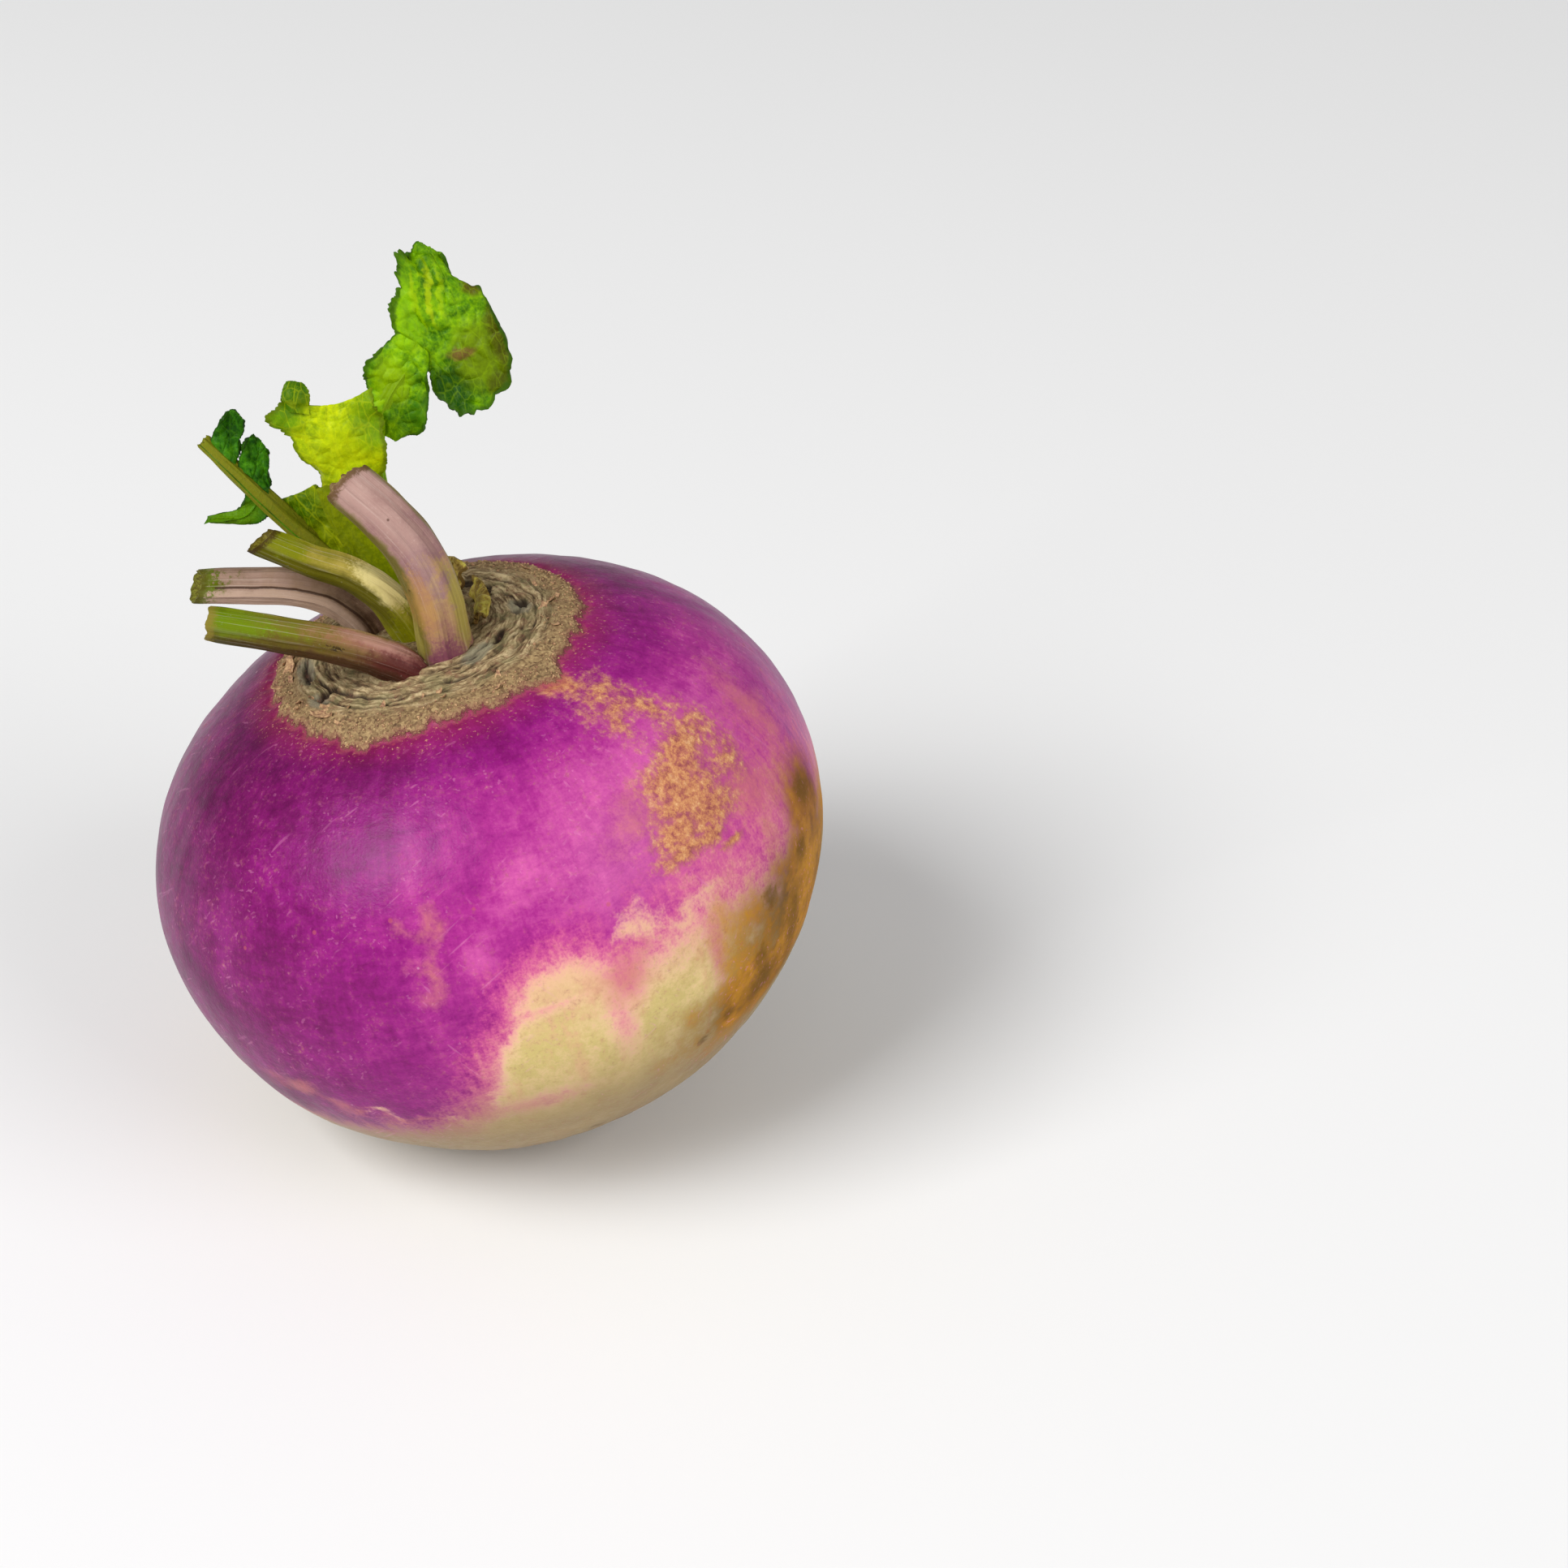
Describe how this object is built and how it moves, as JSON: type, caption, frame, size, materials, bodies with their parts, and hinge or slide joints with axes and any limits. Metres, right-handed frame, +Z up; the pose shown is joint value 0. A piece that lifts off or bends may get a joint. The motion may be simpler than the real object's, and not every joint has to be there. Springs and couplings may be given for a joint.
{
  "type": "turnip",
  "caption": "Leaning round purple-top turnip with a corky crown, cut leaf stalks, a young leaf and two torn green leaves, resting on a small flat spot",
  "frame": {"origin": "Middle of the small flat spot under the root, on the surface it rests on", "axes": "+Z up; the root's own axis leans 13 degrees from +Z towards -X, where the cut stalks point; the side seen in the picture faces -Y"},
  "size_m": [0.0897, 0.0896, 0.1188],
  "materials": {
    "skin": "satin",
    "stalk_mauve": "satin",
    "stalk_green": "satin",
    "leaf_yellow": "satin",
    "leaf_green": "satin",
    "leaf_dark": "satin"
  },
  "bodies": {
    "root": {"root": "skin", "petiole_front_right": "stalk_mauve", "petiole_left_back": "stalk_mauve", "petiole_middle": "stalk_green", "petiole_left_front": "stalk_green", "torn_leaf": "leaf_yellow", "tall_leaf": "leaf_green", "young_leaf": "leaf_dark"}
  },
  "joints": []
}
